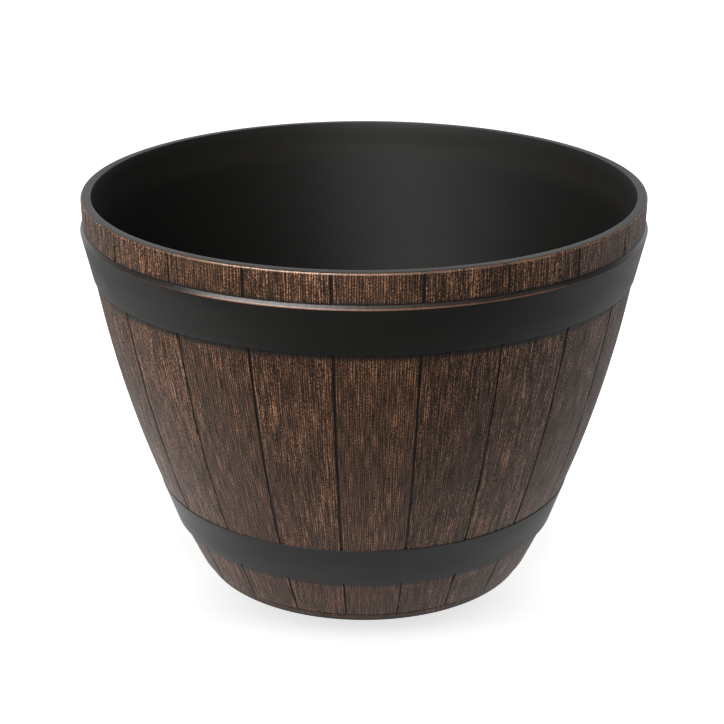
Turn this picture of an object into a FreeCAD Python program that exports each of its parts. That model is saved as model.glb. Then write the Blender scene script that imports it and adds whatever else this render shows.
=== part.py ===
import FreeCAD, Part
import math
import os
import Sketcher

# Barrel planter: a moulded half barrel with two hoops and four pull-out drain plugs.
# Millimetres, +Z up, origin at the centre of the ground face. The front of the planter faces -Y.

SIZES = {
    # Shell, outside
    "overall_height": 405,
    "rim_radius": 285,
    "rim_width": 10,
    "lip_bevel": 2,
    "collar_height": 29,
    "collar_draft": 0.5,
    "collar_shoulder": 2.4,
    "stave_bow_radius": 1155,
    "heel_radius": 178.4,
    # Foot ring and the shadow groove above it
    "foot_radius": 171.7,
    "foot_strip_height": 8,
    "foot_strip_flare": 3.5,
    "foot_groove_height": 2.2,
    "foot_groove_depth": 2.2,
    "foot_ring_width": 14,
    "foot_recess": 5,
    # Shell, inside
    "wall_thickness": 8,
    "floor_thickness": 8,
    "floor_bevel": 14,
    # Stave seams
    "seam_count": 22,
    "seam_width": 2,
    "seam_depth": 1.4,
    "front_seam_angle": 5.7,
    # Hoops and their seats
    "hoop_seat_depth": 1.6,
    "hoop_seat_gap": 0.3,
    "hoop_edge_bevel": 1,
    "upper_hoop_height": 50,
    "upper_hoop_top_stand": 5.9,
    "upper_hoop_bottom_stand": 1.6,
    "upper_hoop_ledge": 4,
    "lower_hoop_rise": 58,
    "lower_hoop_height": 43.5,
    "lower_hoop_top_stand": 0.8,
    "lower_hoop_bottom_stand": 2.9,
    "lower_hoop_ledge": 0.6,
    # Drain holes and plugs
    "drain_offset": 70,
    "drain_hole_radius": 9,
    "plug_stem_gap": 0.3,
    "plug_tip_drop": 2,
    "plug_flange_radius": 14,
    "plug_flange_thickness": 3,
    "plug_flange_gap": 0.5,
    "plug_tab_width": 12,
    "plug_tab_height": 11,
    "plug_tab_thickness": 3,
    "plug_tab_corner": 4,
}

# Each drain plug by its corner: name, side along X, side along Y, turn about Z in degrees
DRAIN_CORNERS = [
    ("drain_plug_back_right", 1, 1, 45),
    ("drain_plug_back_left", -1, 1, 135),
    ("drain_plug_front_left", -1, -1, 225),
    ("drain_plug_front_right", 1, -1, 315),
]

# Heights and radii that follow from the sizes
COLLAR_BASE = "Sizes.overall_height - Sizes.collar_height"
COLLAR_RADIUS = "Sizes.rim_radius - Sizes.collar_draft"
STAVE_TOP_RADIUS = COLLAR_RADIUS + " - Sizes.collar_shoulder"
FOOT_LINE = "Sizes.foot_strip_height + Sizes.foot_groove_height"
FOOT_STRIP_RADIUS = "Sizes.foot_radius + Sizes.foot_strip_flare"
FLOOR_TOP = "Sizes.foot_recess + Sizes.floor_thickness"
PLUG_SEAT = FLOOR_TOP + " - Sizes.plug_flange_thickness"
PLUG_STEM_LENGTH = "Sizes.floor_thickness - Sizes.plug_flange_thickness + Sizes.plug_tip_drop"

# The points of a sketch element, as constraints number them
START, END, CENTRE = range(1, 4)

doc = FreeCAD.newDocument("BarrelPlanter")
sheet = doc.addObject("Spreadsheet::Sheet", "Sizes")
for row, (alias, number) in enumerate(SIZES.items(), start=1):
    sheet.set("A%d" % row, alias)
    sheet.set("B%d" % row, str(number))
    sheet.setAlias("B%d" % row, alias)
doc.recompute()


# Sketch helpers

def value(expression):
    """The number that an expression of sheet sizes gives."""
    return float(sheet.evalExpression(expression))


def new_body(label):
    """An empty body whose label names its piece."""
    body = doc.addObject("PartDesign::Body", label)
    body.Label = label
    return body


def origin_feature(body, role):
    """A base plane or axis of the body."""
    return next(item for item in body.Origin.OriginFeatures if item.Role == role)


def new_sketch(body, name, plane="XZ_Plane"):
    """An empty sketch on one of the body's base planes."""
    sketch = body.newObject("Sketcher::SketchObject", name)
    sketch.AttachmentSupport = [(origin_feature(body, plane), "")]
    sketch.MapMode = "FlatFace"
    return sketch


def tie(sketch, expression, kind, *elements):
    """Add a dimension that follows an expression of sheet sizes."""
    index = sketch.addConstraint(Sketcher.Constraint(kind, *elements, value(expression)))
    sketch.setExpression("Constraints[%d]" % index, expression)


def tie_across(sketch, element, position, expression):
    """Set how far a point lies from the upright axis."""
    if expression == "0":
        sketch.addConstraint(Sketcher.Constraint("PointOnObject", element, position, -2))
    else:
        tie(sketch, expression, "DistanceX", -1, 1, element, position)


def tie_height(sketch, element, position, expression):
    """Set how far a point lies above the level axis."""
    if expression == "0":
        sketch.addConstraint(Sketcher.Constraint("PointOnObject", element, position, -1))
    else:
        tie(sketch, expression, "DistanceY", -1, 1, element, position)


def join(sketch, first, first_end, second, second_end):
    """Make two ends meet."""
    sketch.addConstraint(Sketcher.Constraint("Coincident", first, first_end, second, second_end))


def draw_line(sketch, start, end, construction=False):
    """Add a straight line between two (radius, height) places."""
    segment = Part.LineSegment(FreeCAD.Vector(*start, 0), FreeCAD.Vector(*end, 0))
    return sketch.addGeometry(segment, construction)


def draw_chain(sketch, corners):
    """Add straight lines through corners, each a (radius, height) pair of expressions.

    An edge whose ends share an expression is level or upright, and a radius may be None where
    an arc that meets the corner decides it: the corner is then drawn on the inner wall.
    """
    places = []
    for radius, height in corners:
        level = value(height)
        places.append((inner_wall_radius(level) if radius is None else value(radius), level))
    lines = [draw_line(sketch, start, end) for start, end in zip(places, places[1:])]
    tie_corner(sketch, lines[0], START, *corners[0])
    for line, before, after in zip(lines, corners, corners[1:]):
        if line != lines[0]:
            join(sketch, line - 1, END, line, START)
        if after[0] is not None and after[0] == before[0]:
            sketch.addConstraint(Sketcher.Constraint("Vertical", line))
            tie_corner(sketch, line, END, None, after[1])
        elif after[1] == before[1]:
            sketch.addConstraint(Sketcher.Constraint("Horizontal", line))
            tie_corner(sketch, line, END, after[0], None)
        else:
            tie_corner(sketch, line, END, *after)
    return lines


def tie_corner(sketch, line, position, radius, height):
    """Tie whichever of a corner's radius and height is given."""
    if radius is not None:
        tie_across(sketch, line, position, radius)
    if height is not None:
        tie_height(sketch, line, position, height)


def draw_loop(sketch, corners):
    """Close a chain of straight lines into a loop."""
    lines = draw_chain(sketch, corners)
    first = sketch.Geometry[lines[0]].StartPoint
    last = sketch.Geometry[lines[-1]].EndPoint
    closing = draw_line(sketch, (last.x, last.y), (first.x, first.y))
    join(sketch, lines[-1], END, closing, START)
    join(sketch, closing, END, lines[0], START)
    return lines + [closing]


# The bowed stave line

def stave_centre():
    """Centre of the arc that the staves are bowed to, from the foot line to the collar."""
    heel = FreeCAD.Vector(value("Sizes.heel_radius"), value(FOOT_LINE), 0)
    top = FreeCAD.Vector(value(STAVE_TOP_RADIUS), value(COLLAR_BASE), 0)
    chord = top - heel
    reach = math.sqrt(value("Sizes.stave_bow_radius") ** 2 - (chord.Length / 2) ** 2)
    inward = FreeCAD.Vector(-chord.y, chord.x, 0).normalize()
    return (heel + top) / 2 + inward * reach


def stave_radius(height, depth=0):
    """Distance from the axis to the stave line, or to a line set in by a depth, at a height."""
    centre = stave_centre()
    bow = value("Sizes.stave_bow_radius") - depth
    return centre.x + math.sqrt(bow ** 2 - (height - centre.y) ** 2)


def inner_wall_radius(height):
    """Distance from the axis to the inner wall at a height."""
    return stave_radius(height, value("Sizes.wall_thickness"))


def draw_stave_arc(sketch, low, high, depth=0, construction=False):
    """Add an arc of the stave line between two heights, set in by a depth."""
    centre = stave_centre()
    bow = value("Sizes.stave_bow_radius") - depth
    angles = [math.asin((height - centre.y) / bow) for height in (low, high)]
    circle = Part.Circle(centre, FreeCAD.Vector(0, 0, 1), bow)
    return sketch.addGeometry(Part.ArcOfCircle(circle, *angles), construction)


def draw_stave_guide(sketch):
    """Add the whole stave line as a construction arc, fixed by the sheet's sizes."""
    guide = draw_stave_arc(sketch, value(FOOT_LINE), value(COLLAR_BASE), construction=True)
    tie_corner(sketch, guide, START, "Sizes.heel_radius", FOOT_LINE)
    tie_corner(sketch, guide, END, STAVE_TOP_RADIUS, COLLAR_BASE)
    tie(sketch, "Sizes.stave_bow_radius", "Radius", guide)
    return guide


def draw_stave_chord(sketch, bottom, top):
    """Add a construction line straight across the stave line between two heights."""
    guide = draw_stave_guide(sketch)
    places = [(stave_radius(value(height)), value(height)) for height in (bottom, top)]
    chord = draw_line(sketch, *places, construction=True)
    for position, height in ((START, bottom), (END, top)):
        sketch.addConstraint(Sketcher.Constraint("PointOnObject", chord, position, guide))
        tie_height(sketch, chord, position, height)
    return chord


# Feature helpers

def revolve(body, kind, name, sketch, angle=None):
    """Turn a sketch about Z: all the way round, or by an angle spread evenly to both sides."""
    feature = body.newObject(kind, name)
    feature.Profile = sketch
    feature.ReferenceAxis = (sketch, ["V_Axis"])
    feature.Angle = 360
    if angle:
        feature.Midplane = True
        feature.setExpression("Angle", angle)
    doc.recompute()
    return feature


def confirm_cut(feature):
    """Stop if a cut took nothing away."""
    if feature.Shape.Volume >= feature.BaseFeature.Shape.Volume:
        raise RuntimeError(feature.Name + " cuts nothing")


def repeat_round(body, name, features, occurrences):
    """Repeat features evenly round the Z axis."""
    pattern = body.newObject("PartDesign::PolarPattern", name)
    pattern.Originals = features
    pattern.Axis = (origin_feature(body, "Z_Axis"), [""])
    pattern.Angle = 360
    pattern.setExpression("Occurrences", occurrences)
    body.Tip = pattern
    doc.recompute()
    confirm_cut(pattern)
    return pattern


def bevel_edge(body, name, size, height):
    """Bevel the outermost circular edge at a height of the body."""
    base = body.Tip
    circles = {}
    level = value(height)
    for number, edge in enumerate(base.Shape.Edges, start=1):
        curve = edge.Curve
        if isinstance(curve, Part.Circle) and abs(curve.Center.z - level) < Part.Precision.confusion():
            circles[curve.Radius] = "Edge%d" % number
    bevel = body.newObject("PartDesign::Chamfer", name)
    bevel.Base = (base, [circles[max(circles)]])
    bevel.setExpression("Size", size)
    doc.recompute()
    return bevel


# The moulded shell

def make_wall(body):
    """Section of the shell from the foot ring over the rim to the floor, turned about Z."""
    sketch = new_sketch(body, "ShellSection")
    foot_inner = "Sizes.foot_radius - Sizes.foot_ring_width"
    groove = FOOT_STRIP_RADIUS + " - Sizes.foot_groove_depth"
    foot = draw_chain(sketch, [
        ("0", "Sizes.foot_recess"),
        (foot_inner, "Sizes.foot_recess"),
        (foot_inner, "0"),
        ("Sizes.foot_radius", "0"),
        (FOOT_STRIP_RADIUS, "Sizes.foot_strip_height"),
        (groove, "Sizes.foot_strip_height"),
        (groove, FOOT_LINE),
        ("Sizes.heel_radius", FOOT_LINE),
    ])
    rim = draw_chain(sketch, [
        (STAVE_TOP_RADIUS, COLLAR_BASE),
        (COLLAR_RADIUS, COLLAR_BASE),
        ("Sizes.rim_radius", "Sizes.overall_height"),
        ("Sizes.rim_radius - Sizes.rim_width", "Sizes.overall_height"),
        (None, COLLAR_BASE),
    ])
    floor = draw_chain(sketch, [
        (None, FLOOR_TOP),
        ("0", FLOOR_TOP),
    ])
    axis = draw_line(sketch, (0, value(FLOOR_TOP)), (0, value("Sizes.foot_recess")))
    outside = draw_stave_arc(sketch, value(FOOT_LINE), value(COLLAR_BASE))
    wall = value("Sizes.wall_thickness")
    inside = draw_stave_arc(sketch, value(FLOOR_TOP), value(COLLAR_BASE), wall)
    join(sketch, foot[-1], END, outside, START)
    join(sketch, outside, END, rim[0], START)
    join(sketch, rim[-1], END, inside, END)
    join(sketch, inside, START, floor[0], START)
    join(sketch, floor[-1], END, axis, START)
    join(sketch, axis, END, foot[0], START)
    join(sketch, inside, CENTRE, outside, CENTRE)
    tie(sketch, "Sizes.stave_bow_radius", "Radius", outside)
    tie(sketch, "Sizes.stave_bow_radius - Sizes.wall_thickness", "Radius", inside)
    revolve(body, "PartDesign::Revolution", "Wall", sketch)
    bevel_edge(body, "LipBevel", "Sizes.lip_bevel", "Sizes.overall_height")
    bevel_edge(body, "FloorBevel", "Sizes.floor_bevel", FLOOR_TOP)


def make_seams(body):
    """Narrow seams between the staves, on the wall and on the collar."""
    angle = "Sizes.seam_width / Sizes.rim_radius * 180 / pi"
    wall_seam = revolve(body, "PartDesign::Groove", "WallSeam", wall_seam_sketch(body), angle)
    collar_seam = revolve(body, "PartDesign::Groove", "CollarSeam", collar_seam_sketch(body), angle)
    confirm_cut(wall_seam)
    confirm_cut(collar_seam)
    repeat_round(body, "StaveSeams", [wall_seam, collar_seam], "Sizes.seam_count")


def turn_to_front_seam(sketch):
    """Turn an upright sketch about Z to the seam just left of the front."""
    upright = FreeCAD.Vector(0, 1, 0)
    sketch.AttachmentOffset = FreeCAD.Placement(FreeCAD.Vector(), FreeCAD.Rotation(upright, -90))
    sketch.setExpression("AttachmentOffset.Rotation.Angle", "-90 - Sizes.front_seam_angle")


def wall_seam_sketch(body):
    """Strip along the stave line, from the groove over the foot to behind the upper hoop."""
    sketch = new_sketch(body, "WallSeamStrip")
    turn_to_front_seam(sketch)
    low = "Sizes.foot_strip_height + Sizes.foot_groove_height / 2"
    high = COLLAR_BASE + " - Sizes.upper_hoop_height / 2"
    guide = draw_stave_guide(sketch)
    depth = value("Sizes.seam_depth")
    bottom = draw_stave_arc(sketch, value(low), value(high), depth)
    join(sketch, bottom, CENTRE, guide, CENTRE)
    tie(sketch, "Sizes.stave_bow_radius - Sizes.seam_depth", "Radius", bottom)
    ends = sketch.Geometry[bottom]
    corner_low = (ends.StartPoint.x, ends.StartPoint.y)
    corner_high = (ends.EndPoint.x, ends.EndPoint.y)
    reach = value("Sizes.rim_radius")
    low_edge = draw_line(sketch, corner_low, (reach, corner_low[1]))
    outer_edge = draw_line(sketch, (reach, corner_low[1]), (reach, corner_high[1]))
    high_edge = draw_line(sketch, (reach, corner_high[1]), corner_high)
    join(sketch, bottom, START, low_edge, START)
    join(sketch, low_edge, END, outer_edge, START)
    join(sketch, outer_edge, END, high_edge, START)
    join(sketch, high_edge, END, bottom, END)
    sketch.addConstraint(Sketcher.Constraint("Horizontal", low_edge))
    sketch.addConstraint(Sketcher.Constraint("Vertical", outer_edge))
    sketch.addConstraint(Sketcher.Constraint("Horizontal", high_edge))
    tie_corner(sketch, low_edge, END, "Sizes.rim_radius", low)
    tie_height(sketch, high_edge, START, high)
    return sketch


def collar_seam_sketch(body):
    """Strip up the collar, from behind the upper hoop to the lip."""
    sketch = new_sketch(body, "CollarSeamStrip")
    turn_to_front_seam(sketch)
    low = COLLAR_BASE + " - Sizes.seam_depth"
    high = "Sizes.overall_height - Sizes.lip_bevel"
    outside = "Sizes.rim_radius + Sizes.seam_depth"
    draw_loop(sketch, [
        (COLLAR_RADIUS + " - Sizes.seam_depth", low),
        (outside, low),
        (outside, high),
        ("Sizes.rim_radius - Sizes.seam_depth", high),
    ])
    return sketch


def hoop_levels(hoop):
    """Expressions for the heights of a hoop's bottom edge, which rests in its seat, and its top edge."""
    if hoop == "upper":
        top = COLLAR_BASE + " - Sizes.hoop_seat_gap"
        return top + " - Sizes.upper_hoop_height", top
    bottom = "Sizes.lower_hoop_rise"
    return bottom, bottom + " + Sizes.lower_hoop_height"


def draw_band_back(sketch, hoop, depth):
    """Add a line along the back of a hoop, set into the stave line by a depth expression."""
    chord = draw_stave_chord(sketch, *hoop_levels(hoop))
    levels = [value(level) for level in hoop_levels(hoop)]
    set_in = value(depth)
    back = draw_line(sketch, *[(stave_radius(level) - set_in, level) for level in levels])
    sketch.addConstraint(Sketcher.Constraint("Parallel", chord, back))
    tie(sketch, depth, "Distance", chord, START, back)
    return chord, back


def close_band(sketch, back):
    """Close a band's section with level edges and a front face, which is returned."""
    ends = sketch.Geometry[back]
    low = (ends.StartPoint.x, ends.StartPoint.y)
    high = (ends.EndPoint.x, ends.EndPoint.y)
    outside = value("Sizes.rim_radius")
    top_edge = draw_line(sketch, high, (outside, high[1]))
    front = draw_line(sketch, (outside, high[1]), (outside, low[1]))
    bottom_edge = draw_line(sketch, (outside, low[1]), low)
    join(sketch, back, END, top_edge, START)
    join(sketch, top_edge, END, front, START)
    join(sketch, front, END, bottom_edge, START)
    join(sketch, bottom_edge, END, back, START)
    sketch.addConstraint(Sketcher.Constraint("Horizontal", top_edge))
    sketch.addConstraint(Sketcher.Constraint("Horizontal", bottom_edge))
    return front


def make_hoop_seat(body, hoop):
    """Shallow seat turned into the wall, with a shoulder above and below the hoop."""
    bottom, top = hoop_levels(hoop)
    sketch = new_sketch(body, hoop.capitalize() + "SeatSection")
    chord, back = draw_band_back(sketch, hoop, "Sizes.hoop_seat_depth")
    front = close_band(sketch, back)
    sketch.addConstraint(Sketcher.Constraint("Vertical", front))
    tie_corner(sketch, front, START, "Sizes.rim_radius", top + " + Sizes.hoop_seat_gap")
    tie_height(sketch, front, END, bottom)
    confirm_cut(revolve(body, "PartDesign::Groove", hoop.capitalize() + "Seat", sketch))


def make_drains(body):
    """Four drain holes through the floor, each with a round seat for its plug's flange."""
    hole_sketch = new_sketch(body, "DrainHoleCircle", "XY_Plane")
    seat_sketch = new_sketch(body, "PlugSeatCircle", "XY_Plane")
    seat_sketch.setExpression("AttachmentOffset.Base.z", FLOOR_TOP)
    seat_radius = "Sizes.plug_flange_radius + Sizes.plug_flange_gap"
    draw_drain_circle(hole_sketch, "Sizes.drain_hole_radius")
    draw_drain_circle(seat_sketch, seat_radius)
    hole = body.newObject("PartDesign::Pocket", "DrainHole")
    hole.Profile = hole_sketch
    hole.Type = "ThroughAll"
    hole.Reversed = True
    seat = body.newObject("PartDesign::Pocket", "PlugSeat")
    seat.Profile = seat_sketch
    seat.setExpression("Length", "Sizes.plug_flange_thickness")
    doc.recompute()
    confirm_cut(hole)
    confirm_cut(seat)
    repeat_round(body, "Drains", [hole, seat], str(len(DRAIN_CORNERS)))


def draw_drain_circle(sketch, radius):
    """Add a circle centred on the back right drain."""
    centre = FreeCAD.Vector(value("Sizes.drain_offset"), value("Sizes.drain_offset"), 0)
    circle = sketch.addGeometry(Part.Circle(centre, FreeCAD.Vector(0, 0, 1), value(radius)))
    tie_corner(sketch, circle, CENTRE, "Sizes.drain_offset", "Sizes.drain_offset")
    tie(sketch, radius, "Radius", circle)


def make_shell():
    """The moulded half barrel: wall, collar, rim, floor and foot in one piece."""
    body = new_body("barrel_shell")
    make_wall(body)
    make_seams(body)
    make_hoop_seat(body, "upper")
    make_hoop_seat(body, "lower")
    make_drains(body)
    return body


# The hoops

def make_hoop(hoop):
    """A tapered band that lies in its seat, proud of the staves, with a ledge along its top edge."""
    body = new_body(hoop + "_hoop")
    bottom, top = hoop_levels(hoop)
    sketch = new_sketch(body, "BandSection")
    chord, back = draw_band_back(sketch, hoop, "Sizes.hoop_seat_depth - Sizes.hoop_seat_gap")
    front = close_band(sketch, back)
    tie_height(sketch, front, START, top)
    tie_height(sketch, front, END, bottom)
    tie(sketch, "Sizes.%s_hoop_top_stand" % hoop, "DistanceX", chord, END, front, START)
    tie(sketch, "Sizes.%s_hoop_bottom_stand" % hoop, "DistanceX", chord, START, front, END)
    revolve(body, "PartDesign::Revolution", "Band", sketch)
    bevel_edge(body, "Ledge", "Sizes.%s_hoop_ledge" % hoop, top)
    bevel_edge(body, "BottomEdge", "Sizes.hoop_edge_bevel", bottom)
    return body


# The drain plugs

def make_plug(label, side_x, side_y, turn):
    """A stopper with a flange, a straight stem and an upright pull tab."""
    body = new_body(label)
    stem_radius = "Sizes.drain_hole_radius - Sizes.plug_stem_gap"
    flange_top = PLUG_STEM_LENGTH + " + Sizes.plug_flange_thickness"
    section = new_sketch(body, "StopperSection")
    draw_loop(section, [
        ("0", "0"),
        (stem_radius, "0"),
        (stem_radius, PLUG_STEM_LENGTH),
        ("Sizes.plug_flange_radius", PLUG_STEM_LENGTH),
        ("Sizes.plug_flange_radius", flange_top),
        ("0", flange_top),
    ])
    revolve(body, "PartDesign::Revolution", "Stopper", section)
    tab = body.newObject("PartDesign::Pad", "PullTab")
    tab.Profile = pull_tab_sketch(body, flange_top)
    tab.Midplane = True
    tab.setExpression("Length", "Sizes.plug_tab_thickness")
    turned = FreeCAD.Rotation(FreeCAD.Vector(0, 0, 1), turn)
    body.Placement = FreeCAD.Placement(FreeCAD.Vector(), turned)
    body.setExpression("Placement.Base.x", "%d * Sizes.drain_offset" % side_x)
    body.setExpression("Placement.Base.y", "%d * Sizes.drain_offset" % side_y)
    body.setExpression("Placement.Base.z", "%s - (%s)" % (PLUG_SEAT, PLUG_STEM_LENGTH))
    return body


def pull_tab_sketch(body, flange_top):
    """Upright tab with cut corners, the same to both sides of the axis, rooted in the flange."""
    sketch = new_sketch(body, "PullTabOutline")
    root = PLUG_STEM_LENGTH + " + Sizes.plug_flange_thickness / 2"
    crown = flange_top + " + Sizes.plug_tab_height"
    shoulder = crown + " - Sizes.plug_tab_corner"
    side = "Sizes.plug_tab_width / 2"
    crest = side + " - Sizes.plug_tab_corner"
    draw_loop(sketch, [
        ("-(%s)" % side, root),
        (side, root),
        (side, shoulder),
        (crest, crown),
        ("-(%s)" % crest, crown),
        ("-(%s)" % side, shoulder),
    ])
    return sketch


# Build, check and write the pieces

def check_document(bodies):
    """Stop if any object failed or any piece is missing, open or split."""
    for item in doc.Objects:
        if "Invalid" in item.State or "Error" in item.State:
            raise RuntimeError("%s failed: %s" % (item.Name, item.State))
    for body in bodies:
        shape = body.Shape
        if shape.isNull() or not shape.isValid() or len(shape.Solids) != 1:
            raise RuntimeError(body.Label + " is not one valid solid")


pieces = [make_shell(), make_hoop("upper"), make_hoop("lower")]
for corner in DRAIN_CORNERS:
    pieces.append(make_plug(*corner))
doc.recompute()
check_document(pieces)

os.makedirs("parts", exist_ok=True)
for piece in pieces:
    piece.Shape.exportStep("parts/%s.step" % piece.Label)
    print(piece.Label, round(piece.Shape.Volume), "mm3")
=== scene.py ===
import logging
import math
from abc import ABC, abstractmethod
from dataclasses import dataclass
from enum import Enum

import bmesh
import bpy
from mathutils import Color, Matrix, Vector


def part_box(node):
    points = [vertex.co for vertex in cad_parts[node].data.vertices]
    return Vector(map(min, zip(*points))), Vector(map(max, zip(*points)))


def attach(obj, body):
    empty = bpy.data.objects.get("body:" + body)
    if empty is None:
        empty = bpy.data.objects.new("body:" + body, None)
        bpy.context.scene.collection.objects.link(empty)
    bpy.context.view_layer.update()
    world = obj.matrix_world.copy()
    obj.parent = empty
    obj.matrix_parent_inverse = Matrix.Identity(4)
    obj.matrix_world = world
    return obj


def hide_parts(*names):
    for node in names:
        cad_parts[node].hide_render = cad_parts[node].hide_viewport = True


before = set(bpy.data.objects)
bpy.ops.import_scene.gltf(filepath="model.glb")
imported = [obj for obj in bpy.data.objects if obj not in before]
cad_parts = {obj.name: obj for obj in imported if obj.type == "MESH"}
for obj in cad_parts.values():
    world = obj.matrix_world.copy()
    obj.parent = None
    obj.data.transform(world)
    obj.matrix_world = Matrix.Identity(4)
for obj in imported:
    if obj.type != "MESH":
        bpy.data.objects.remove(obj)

LOG = logging.getLogger("barrel_planter")
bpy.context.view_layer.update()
MM = 0.001
FULL_TURN = 2 * math.pi
WELD = 1e-5
SAME_ANGLE = 1e-9
GRAIN_MAP = "grain"
STAVE_PITCH_MM = 81.4
STAVE_LAYER = 17.3
STAVE_MARKS = {"painted": True, "groove": 1.0}
WHITE = (1.0, 1.0, 1.0, 1.0)

Socket = bpy.types.NodeSocket
Material = bpy.types.Material
Piece = bpy.types.Object
Shape = bmesh.types.BMesh
Corner = bmesh.types.BMVert
Face = bmesh.types.BMFace
Value = float | Socket
Inputs = dict[str | int, object]
Weights = tuple[float, ...]
Place = tuple[float, float]
Point = tuple[float, float, float]
Colour = tuple[float, float, float, float]
Row = list[tuple[float, Corner]]


def tint(*channels: int) -> Colour:
    """Turn a paint chip's red, green and blue from 0 to 255 into a scene colour."""
    return (*Color([channel / 255 for channel in channels]).from_srgb_to_scene_linear(), 1.0)


class Mark(Enum):
    """Named values that the shell and hoop meshes carry for their finishes."""

    WEAR = "wear"
    # Depth of the dark seams between staves, or a station's painted shade, whichever is more.
    SEAM = "seam"
    RELIEF = "relief"
    PAINTED = "painted"
    STAVE = "stave"


@dataclass(frozen=True)
class Ramp:
    """A range that is mapped to another with soft, clamped ends."""

    low: float
    high: float
    start: Value = 0.0
    end: Value = 1.0


class Graph:
    """Short calls for filling a node tree."""

    def __init__(self, tree: bpy.types.NodeTree) -> None:
        """Start from an empty tree."""
        self.tree = tree
        tree.nodes.clear()

    def add(self, kind: str, inputs: Inputs | None = None, **settings: object) -> bpy.types.Node:
        """Add a node.

        Args:
            kind: Node type.
            inputs: Values or output sockets by input name or number.
            settings: Attributes to set on the node.

        Returns:
            The new node.
        """
        node = self.tree.nodes.new(kind)
        for name, setting in settings.items():
            setattr(node, name, setting)
        for key, value in (inputs or {}).items():
            if isinstance(value, Socket):
                self.tree.links.new(value, node.inputs[key])
            else:
                node.inputs[key].default_value = value
        return node

    def out(self, kind: str, inputs: Inputs | None = None, **settings: object) -> Socket:
        """Add a node and return its first output."""
        return self.add(kind, inputs, **settings).outputs[0]

    def math(self, operation: str, *values: Value) -> Socket:
        """Add a Math node and return its result."""
        return self.out("ShaderNodeMath", dict(enumerate(values)), operation=operation)

    def times(self, first: Value, second: Value) -> Socket:
        """Multiply two values."""
        return self.math("MULTIPLY", first, second)

    def total(self, weights: Weights, *values: Value) -> Socket:
        """Add up values by their weights.

        Args:
            weights: One weight for each value.
            values: What is added up.

        Returns:
            The weighted sum.
        """
        result = self.times(values[0], weights[0])
        for value, weight in zip(values[1:], weights[1:]):
            result = self.math("MULTIPLY_ADD", value, weight, result)
        return result

    def ease(self, value: Value, ramp: Ramp) -> Socket:
        """Map a value by a ramp.

        Args:
            value: What is mapped.
            ramp: Ranges to map from and to.

        Returns:
            The mapped value.
        """
        inputs = {
            "Value": value, "From Min": ramp.low, "From Max": ramp.high,
            "To Min": ramp.start, "To Max": ramp.end}
        return self.out("ShaderNodeMapRange", inputs, interpolation_type="SMOOTHSTEP")

    def combine(self, x: Value, y: Value, z: Value) -> Socket:
        """Make a vector from three values."""
        return self.out("ShaderNodeCombineXYZ", {"X": x, "Y": y, "Z": z})

    def grey(self, shade: Value) -> Socket:
        """Make a grey from one value."""
        return self.combine(shade, shade, shade)

    def split(self, vector: Socket) -> tuple[Socket, Socket, Socket]:
        """Take a vector apart into three values."""
        return tuple(self.add("ShaderNodeSeparateXYZ", {0: vector}).outputs)

    def place(self) -> Socket:
        """Read where a point lies in the object's own frame."""
        return self.add("ShaderNodeTexCoord").outputs["Object"]

    def noise(self, place: Socket, scale: float, detail: float, roughness: float) -> Socket:
        """Sample smooth noise at a place."""
        inputs = {"Vector": place, "Scale": scale, "Detail": detail, "Roughness": roughness}
        return self.out("ShaderNodeTexNoise", inputs)

    def blend(self, share: Value, base: object, over: object, mode: str = "MIX") -> Socket:
        """Lay a share of one colour over another and return the result."""
        inputs = {0: share, 6: base, 7: over}
        return self.add("ShaderNodeMix", inputs, data_type="RGBA", blend_type=mode).outputs[2]

    def mark(self, mark: Mark) -> Socket:
        """Read a named value of the mesh in a material."""
        return self.add("ShaderNodeAttribute", attribute_name=mark.value).outputs["Fac"]

    def named(self, name: str, kind: str = "FLOAT") -> Socket:
        """Read a named value of the mesh in a geometry tree."""
        return self.out("GeometryNodeInputNamedAttribute", {"Name": name}, data_type=kind)

    def store(self, geometry: Socket, name: str, value: Socket, kind: str, domain: str) -> Socket:
        """Store a named value on a geometry and return the geometry."""
        inputs = {"Geometry": geometry, "Name": name, "Value": value}
        return self.out("GeometryNodeStoreNamedAttribute", inputs, data_type=kind, domain=domain)

    def bump(self, height: Socket, depth: float, strength: float) -> Socket:
        """Turn a height into a shading normal, with the metres that a height of 1 stands for."""
        return self.out("ShaderNodeBump", {"Height": height, "Distance": depth, "Strength": strength})

    def rays(self) -> tuple[Socket, Socket]:
        """Tell rays that show a thing straight or through glass, and rays that mirror it.

        Returns:
            A value of 0 or 1 for each.
        """
        path = self.add("ShaderNodeLightPath").outputs
        seen = self.math("MAXIMUM", path["Is Camera Ray"], path["Is Transmission Ray"])
        return seen, path["Is Glossy Ray"]


def stave_axes(graph: Graph) -> tuple[Socket, Socket, Socket]:
    """Read where a point lies on its stave.

    Args:
        graph: Graph of the material.

    Returns:
        The place in staves, and the place across and along the staves in millimetres.
    """
    column, row, _ = graph.split(graph.out("ShaderNodeUVMap", uv_map=GRAIN_MAP))
    return column, graph.times(column, STAVE_PITCH_MM), graph.times(row, STAVE_PITCH_MM)


@dataclass(frozen=True)
class Streak:
    """Noise drawn out along the grain."""

    width: Value
    length: Value
    detail: float = 2.0
    roughness: float = 0.5

    def draw(self, graph: Graph, across: Socket, along: Socket, layer: Value) -> Socket:
        """Sample the streaks.

        Args:
            graph: Graph of the material or tree.
            across: Place across the grain, in the unit of the width.
            along: Place along the grain, in the unit of the length.
            layer: Number that sets one stave's grain apart from the next.

        Returns:
            Noise about one half.
        """
        column = graph.math("DIVIDE", across, self.width)
        row = graph.math("DIVIDE", along, self.length)
        return graph.noise(graph.combine(column, row, layer), 1.0, self.detail, self.roughness)


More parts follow.
